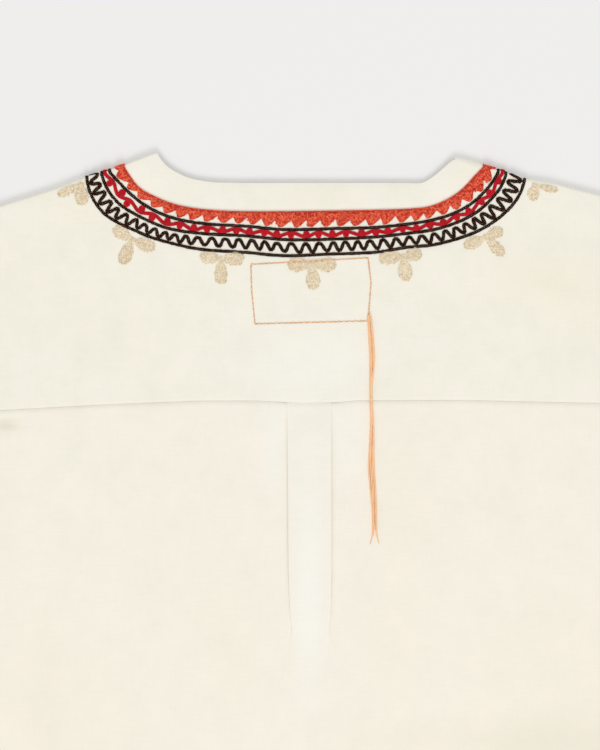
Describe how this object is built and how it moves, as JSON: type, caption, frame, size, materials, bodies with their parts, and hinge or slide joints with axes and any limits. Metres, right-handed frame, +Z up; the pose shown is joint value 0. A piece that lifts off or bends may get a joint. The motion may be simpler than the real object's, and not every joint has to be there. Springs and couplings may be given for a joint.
{
  "type": "embroidered blouse",
  "caption": "Cream blouse laid flat, back up, with a stand neck band, a yoke, a box pleat and an embroidered border round the neck.",
  "frame": {"origin": "on the surface, under the middle of the blouse's box", "axes": "+Y towards the neck, +X to the right as seen from above with the back up, +Z up out of the back"},
  "size_m": [1.032, 0.7202, 0.0053],
  "materials": {
    "cream_linen": "plain woven cream linen and cotton, matte",
    "coral_thread": "filled looped stitch in coral thread",
    "dark_brown_thread": "chain stitch in dark brown thread",
    "red_thread": "satin stitch in red thread",
    "beige_thread": "filled petals in beige thread",
    "orange_thread": "loose orange sewing thread"
  },
  "bodies": {
    "root": {"yoke": "cream_linen", "back": "cream_linen", "front": "cream_linen", "neck_band": "cream_linen", "sleeve_left": "cream_linen", "sleeve_right": "cream_linen", "coral_border": "coral_thread", "dark_line_inner": "dark_brown_thread", "dark_line_middle": "dark_brown_thread", "dark_line_outer": "dark_brown_thread", "dark_wave": "dark_brown_thread", "beaded_vine": "red_thread", "trefoil_1": "beige_thread", "trefoil_2": "beige_thread", "trefoil_3": "beige_thread", "trefoil_4": "beige_thread", "trefoil_5": "beige_thread", "trefoil_6": "beige_thread", "trefoil_7": "beige_thread", "thread_ends": "orange_thread"}
  },
  "joints": []
}
